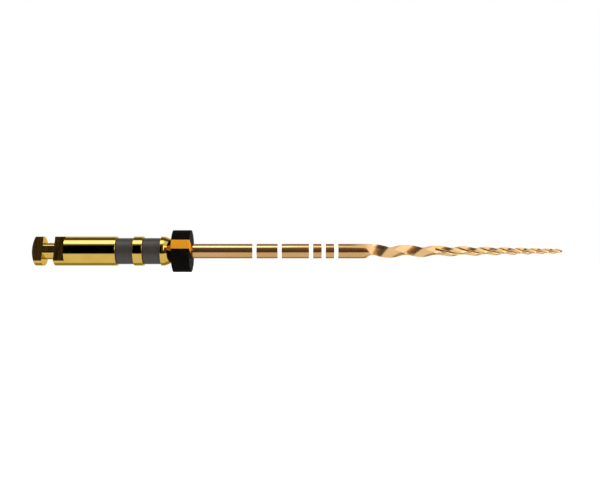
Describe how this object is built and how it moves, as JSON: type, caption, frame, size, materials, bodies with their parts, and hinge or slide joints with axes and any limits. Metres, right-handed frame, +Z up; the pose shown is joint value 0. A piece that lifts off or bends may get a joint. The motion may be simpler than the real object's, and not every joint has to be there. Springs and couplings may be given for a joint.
{
  "type": "endodontic file",
  "caption": "Rotary root-canal file: latch shank with colour rings, round shaft with white depth marks, sliding silicone stop and a twisted, tapered cutting part.",
  "frame": {"origin": "on the axis, at the apex of the latch shank's domed rear end", "axes": "+X along the axis from the shank to the tip, +Z up; the drive flat and the stop's mark face -Y and a little upwards"},
  "size_m": [0.0423, 0.0034, 0.0034],
  "materials": {
    "gold_brass": "polished, gold coloured, fine turning marks",
    "nickel_titanium": "heat-tinted gold nickel-titanium, ground",
    "adhesive": "cured clear adhesive film",
    "size_ring": "dark grey colour-code ring, satin",
    "silicone": "black moulded silicone, matte",
    "silicone_mark": "orange moulded silicone, matte",
    "depth_mark": "white fill, matte"
  },
  "bodies": {
    "instrument": {"latch_handle": "gold_brass", "shaft_bond": "adhesive", "file_blade": "nickel_titanium", "colour_ring_rear": "size_ring", "colour_ring_front": "size_ring", "depth_mark_18": "depth_mark", "depth_mark_19": "depth_mark", "depth_mark_20": "depth_mark", "depth_mark_22": "depth_mark", "depth_mark_24": "depth_mark"},
    "stop": {"stop_body": "silicone", "stop_mark": "silicone_mark"}
  },
  "joints": [
    {"name": "stop_slide", "type": "slide", "parent": "instrument", "child": "stop", "axis": [1, 0, 0], "range_m": [0, 0.0135]}
  ]
}
